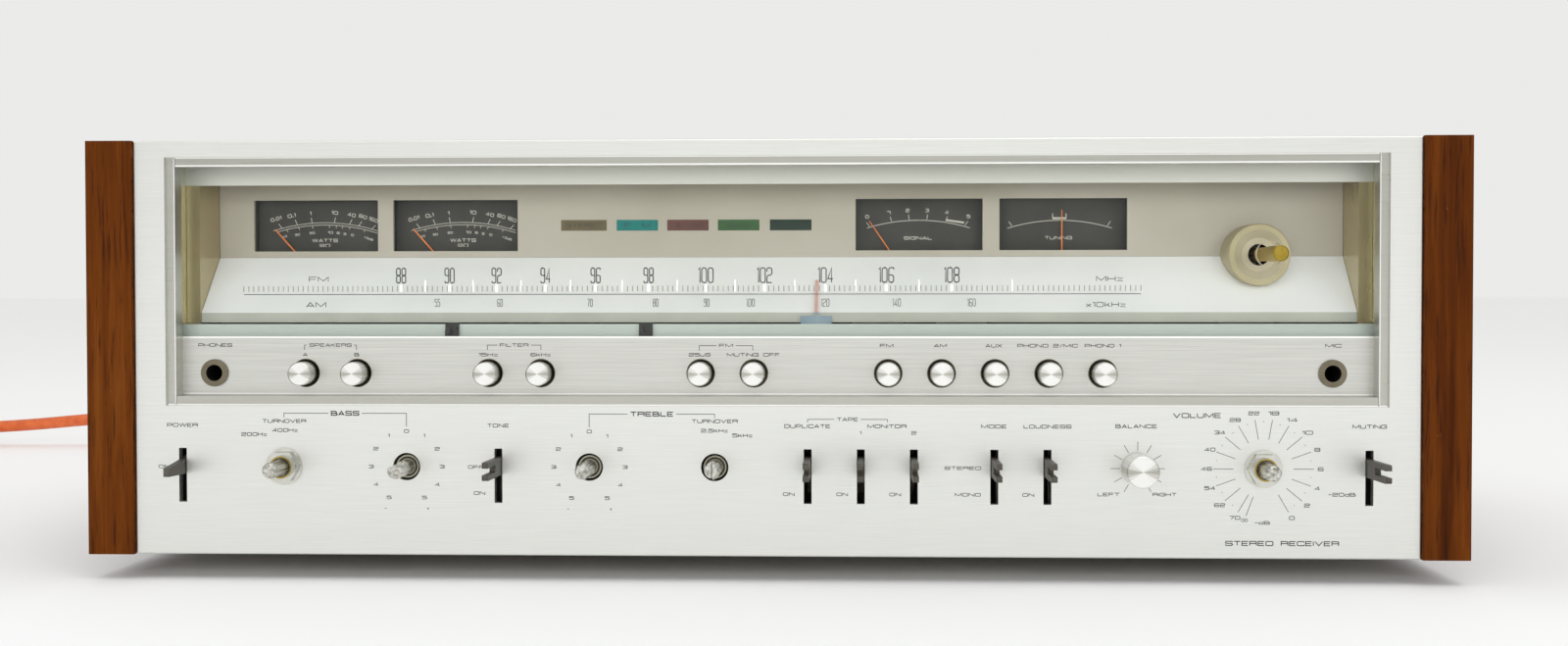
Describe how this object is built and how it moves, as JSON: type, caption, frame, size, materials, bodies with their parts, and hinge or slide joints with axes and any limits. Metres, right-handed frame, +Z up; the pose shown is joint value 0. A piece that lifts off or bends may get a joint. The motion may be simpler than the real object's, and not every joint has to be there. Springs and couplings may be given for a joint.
{
  "type": "stereo receiver",
  "caption": "Wide silver-faced stereo receiver with wooden side panels, a glazed tuning dial with needle meters, push buttons, lever switches and bare control shafts.",
  "frame": {"origin": "on the surface that the feet stand on, under the centre of the receiver's own box, without its mains lead", "axes": "+X towards the receiver's right end as its user sees it, +Y towards its rear panel, +Z up"},
  "size_m": [0.9445, 0.6079, 0.169],
  "materials": {
    "brushed_aluminium": "brushed",
    "bright_aluminium": "satin",
    "clear_glass": "polished",
    "dial_grey": "satin",
    "scale_white": "satin",
    "dial_brown": "satin",
    "meter_black": "matte",
    "lens_plastic": "gloss",
    "collar_plastic": "satin",
    "walnut": "oiled",
    "plated_steel": "plated",
    "black_paint": "crinkle",
    "foot_rubber": "matte",
    "transformer_paint": "matte",
    "sink_aluminium": "anodised",
    "board_green": "satin",
    "socket_plastic": "gloss",
    "connector_plastic": "satin",
    "screw_chrome": "bright",
    "lead_orange": "satin",
    "plug_orange": "satin",
    "shaft_brass": "drawn",
    "drum_plastic": "satin",
    "pointer_plastic": "translucent",
    "aerial_plastic": "satin",
    "turned_aluminium": "turned",
    "lever_metal": "worn bronze",
    "shaft_metal": "machined",
    "needle_orange": "painted",
    "marker_black": "satin"
  },
  "bodies": {
    "root": {"faceplate": "brushed_aluminium", "window_frame": "bright_aluminium", "button_panel": "brushed_aluminium", "dial_glass": "clear_glass", "meter_panel": "dial_grey", "scale_plate": "scale_white", "dial_box": "dial_brown", "meter_cases": "meter_black", "indicator_lenses": "lens_plastic", "tuning_collar": "collar_plastic", "side_panels": "walnut", "chassis": "plated_steel", "top_cover": "black_paint", "rear_panel": "black_paint", "feet": "foot_rubber", "power_transformer": "transformer_paint", "heat_sink": "sink_aluminium", "circuit_boards": "board_green", "control_bodies": "plated_steel", "jack_sockets": "socket_plastic", "rear_connectors": "connector_plastic", "screws": "screw_chrome", "power_cord": "lead_orange", "cord_coil": "lead_orange", "power_plug": "plug_orange"},
    "power_lever": {"power_lever": "lever_metal"},
    "tone_lever": {"tone_lever": "lever_metal"},
    "tape_duplicate_lever": {"tape_duplicate_lever": "lever_metal"},
    "tape_monitor_1_lever": {"tape_monitor_1_lever": "lever_metal"},
    "tape_monitor_2_lever": {"tape_monitor_2_lever": "lever_metal"},
    "mode_lever": {"mode_lever": "lever_metal"},
    "loudness_lever": {"loudness_lever": "lever_metal"},
    "muting_lever": {"muting_lever": "lever_metal"},
    "bass_turnover_shaft": {"bass_turnover_shaft": "shaft_metal"},
    "bass_shaft": {"bass_shaft": "shaft_metal"},
    "treble_shaft": {"treble_shaft": "shaft_metal"},
    "treble_turnover_shaft": {"treble_turnover_shaft": "shaft_metal"},
    "balance_knob": {"balance_knob": "turned_aluminium"},
    "volume_shaft": {"volume_shaft": "shaft_metal"},
    "speakers_a_button": {"speakers_a_button": "turned_aluminium"},
    "speakers_b_button": {"speakers_b_button": "turned_aluminium"},
    "low_filter_button": {"low_filter_button": "turned_aluminium"},
    "high_filter_button": {"high_filter_button": "turned_aluminium"},
    "fm_25us_button": {"fm_25us_button": "turned_aluminium"},
    "fm_muting_button": {"fm_muting_button": "turned_aluminium"},
    "fm_button": {"fm_button": "turned_aluminium"},
    "am_button": {"am_button": "turned_aluminium"},
    "aux_button": {"aux_button": "turned_aluminium"},
    "phono_2_button": {"phono_2_button": "turned_aluminium"},
    "phono_1_button": {"phono_1_button": "turned_aluminium"},
    "tuning_shaft": {"tuning_shaft": "shaft_brass"},
    "tuning_drum": {"tuning_drum": "drum_plastic"},
    "dial_pointer": {"dial_pointer": "pointer_plastic"},
    "power_meter_left_needle": {"power_meter_left_needle": "needle_orange"},
    "power_meter_right_needle": {"power_meter_right_needle": "needle_orange"},
    "signal_meter_needle": {"signal_meter_needle": "needle_orange"},
    "tuning_meter_needle": {"tuning_meter_needle": "needle_orange"},
    "station_marker_left": {"station_marker_left": "marker_black"},
    "station_marker_right": {"station_marker_right": "marker_black"},
    "bar_aerial": {"bar_aerial": "aerial_plastic"}
  },
  "joints": [
    {"name": "power_swing", "type": "hinge", "parent": "root", "child": "power_lever", "pos_m": [-0.2263, -0.129, 0.0406], "axis": [1, 0, 0], "range_deg": [0, 10.4]},
    {"name": "tone_swing", "type": "hinge", "parent": "root", "child": "tone_lever", "pos_m": [-0.1039, -0.129, 0.0406], "axis": [1, 0, 0], "range_deg": [0, 10.4]},
    {"name": "tape_duplicate_swing", "type": "hinge", "parent": "root", "child": "tape_duplicate_lever", "pos_m": [0.0145, -0.129, 0.0406], "axis": [1, 0, 0], "range_deg": [0, 10.4]},
    {"name": "tape_monitor_1_swing", "type": "hinge", "parent": "root", "child": "tape_monitor_1_lever", "pos_m": [0.0347, -0.129, 0.0406], "axis": [1, 0, 0], "range_deg": [0, 10.4]},
    {"name": "tape_monitor_2_swing", "type": "hinge", "parent": "root", "child": "tape_monitor_2_lever", "pos_m": [0.0548, -0.129, 0.0406], "axis": [1, 0, 0], "range_deg": [0, 10.4]},
    {"name": "mode_swing", "type": "hinge", "parent": "root", "child": "mode_lever", "pos_m": [0.0852, -0.129, 0.0406], "axis": [1, 0, 0], "range_deg": [0, 10.4]},
    {"name": "loudness_swing", "type": "hinge", "parent": "root", "child": "loudness_lever", "pos_m": [0.1052, -0.129, 0.0406], "axis": [1, 0, 0], "range_deg": [0, 10.4]},
    {"name": "muting_swing", "type": "hinge", "parent": "root", "child": "muting_lever", "pos_m": [0.2255, -0.129, 0.0406], "axis": [1, 0, 0], "range_deg": [0, 10.4]},
    {"name": "bass_turnover_turn", "type": "hinge", "parent": "root", "child": "bass_turnover_shaft", "pos_m": [-0.1868, -0.174, 0.044], "axis": [0, 1, 0], "range_deg": [-30, 0]},
    {"name": "bass_turn", "type": "hinge", "parent": "root", "child": "bass_shaft", "pos_m": [-0.1393, -0.174, 0.044], "axis": [0, 1, 0], "range_deg": [-150, 150]},
    {"name": "treble_turn", "type": "hinge", "parent": "root", "child": "treble_shaft", "pos_m": [-0.0689, -0.174, 0.044], "axis": [0, 1, 0], "range_deg": [-150, 150]},
    {"name": "treble_turnover_turn", "type": "hinge", "parent": "root", "child": "treble_turnover_shaft", "pos_m": [-0.0209, -0.174, 0.044], "axis": [0, 1, 0], "range_deg": [0, 30]},
    {"name": "balance_turn", "type": "hinge", "parent": "root", "child": "balance_knob", "pos_m": [0.1391, -0.174, 0.044], "axis": [0, 1, 0], "range_deg": [-140, 140]},
    {"name": "volume_turn", "type": "hinge", "parent": "root", "child": "volume_shaft", "pos_m": [0.1861, -0.174, 0.044], "axis": [0, 1, 0], "range_deg": [0, 300]},
    {"name": "speakers_a_press", "type": "slide", "parent": "root", "child": "speakers_a_button", "axis": [0, 1, 0], "range_m": [0, 0.004], "stiffness_N_per_m": 150},
    {"name": "speakers_b_press", "type": "slide", "parent": "root", "child": "speakers_b_button", "axis": [0, 1, 0], "range_m": [0, 0.004], "stiffness_N_per_m": 150},
    {"name": "low_filter_press", "type": "slide", "parent": "root", "child": "low_filter_button", "axis": [0, 1, 0], "range_m": [0, 0.004], "stiffness_N_per_m": 150},
    {"name": "high_filter_press", "type": "slide", "parent": "root", "child": "high_filter_button", "axis": [0, 1, 0], "range_m": [0, 0.004], "stiffness_N_per_m": 150},
    {"name": "fm_25us_press", "type": "slide", "parent": "root", "child": "fm_25us_button", "axis": [0, 1, 0], "range_m": [0, 0.004], "stiffness_N_per_m": 150},
    {"name": "fm_muting_press", "type": "slide", "parent": "root", "child": "fm_muting_button", "axis": [0, 1, 0], "range_m": [0, 0.004], "stiffness_N_per_m": 150},
    {"name": "fm_press", "type": "slide", "parent": "root", "child": "fm_button", "axis": [0, 1, 0], "range_m": [0, 0.004], "stiffness_N_per_m": 150},
    {"name": "am_press", "type": "slide", "parent": "root", "child": "am_button", "axis": [0, 1, 0], "range_m": [0, 0.004], "stiffness_N_per_m": 150},
    {"name": "aux_press", "type": "slide", "parent": "root", "child": "aux_button", "axis": [0, 1, 0], "range_m": [0, 0.004], "stiffness_N_per_m": 150},
    {"name": "phono_2_press", "type": "slide", "parent": "root", "child": "phono_2_button", "axis": [0, 1, 0], "range_m": [0, 0.004], "stiffness_N_per_m": 150},
    {"name": "phono_1_press", "type": "slide", "parent": "root", "child": "phono_1_button", "axis": [0, 1, 0], "range_m": [0, 0.004], "stiffness_N_per_m": 150},
    {"name": "tuning_turn", "type": "hinge", "parent": "root", "child": "tuning_shaft", "pos_m": [0.1901, -0.174, 0.125], "axis": [0, 1, 0], "range_deg": [-2030.6, 763.2]},
    {"name": "pointer_slide", "type": "slide", "parent": "root", "child": "dial_pointer", "axis": [1, 0, 0], "range_m": [-0.1774, 0.0668]},
    {"name": "drum_turn", "type": "hinge", "parent": "root", "child": "tuning_drum", "pos_m": [0.06, -0.074, 0.064], "axis": [0, 1, 0], "range_deg": [-234, 88.4]},
    {"name": "power_meter_left_swing", "type": "hinge", "parent": "root", "child": "power_meter_left_needle", "pos_m": [-0.1868, -0.1246, 0.1157], "axis": [0, 1, 0], "range_deg": [0, 84], "stiffness_Nm_per_rad": 0.00002},
    {"name": "power_meter_right_swing", "type": "hinge", "parent": "root", "child": "power_meter_right_needle", "pos_m": [-0.1296, -0.1246, 0.1157], "axis": [0, 1, 0], "range_deg": [0, 84], "stiffness_Nm_per_rad": 0.00002},
    {"name": "signal_meter_swing", "type": "hinge", "parent": "root", "child": "signal_meter_needle", "pos_m": [0.0581, -0.1246, 0.11], "axis": [0, 1, 0], "range_deg": [0, 68], "stiffness_Nm_per_rad": 0.00002},
    {"name": "tuning_meter_swing", "type": "hinge", "parent": "root", "child": "tuning_meter_needle", "pos_m": [0.1157, -0.1246, 0.11], "axis": [0, 1, 0], "range_deg": [-34, 34], "stiffness_Nm_per_rad": 0.00002},
    {"name": "station_marker_left_slide", "type": "slide", "parent": "root", "child": "station_marker_left", "axis": [1, 0, 0], "range_m": [-0.085, 0.03]},
    {"name": "station_marker_right_slide", "type": "slide", "parent": "root", "child": "station_marker_right", "axis": [1, 0, 0], "range_m": [-0.04, 0.15]},
    {"name": "aerial_swing", "type": "hinge", "parent": "root", "child": "bar_aerial", "pos_m": [0.214, 0.193, 0.148], "axis": [0, 0, -1], "range_deg": [0, 85]}
  ],
  "couplings": [
    {"joint": "pointer_slide", "follows": "tuning_turn", "m_per_rad": 0.005},
    {"joint": "drum_turn", "follows": "tuning_turn", "ratio": 0.11494}
  ]
}
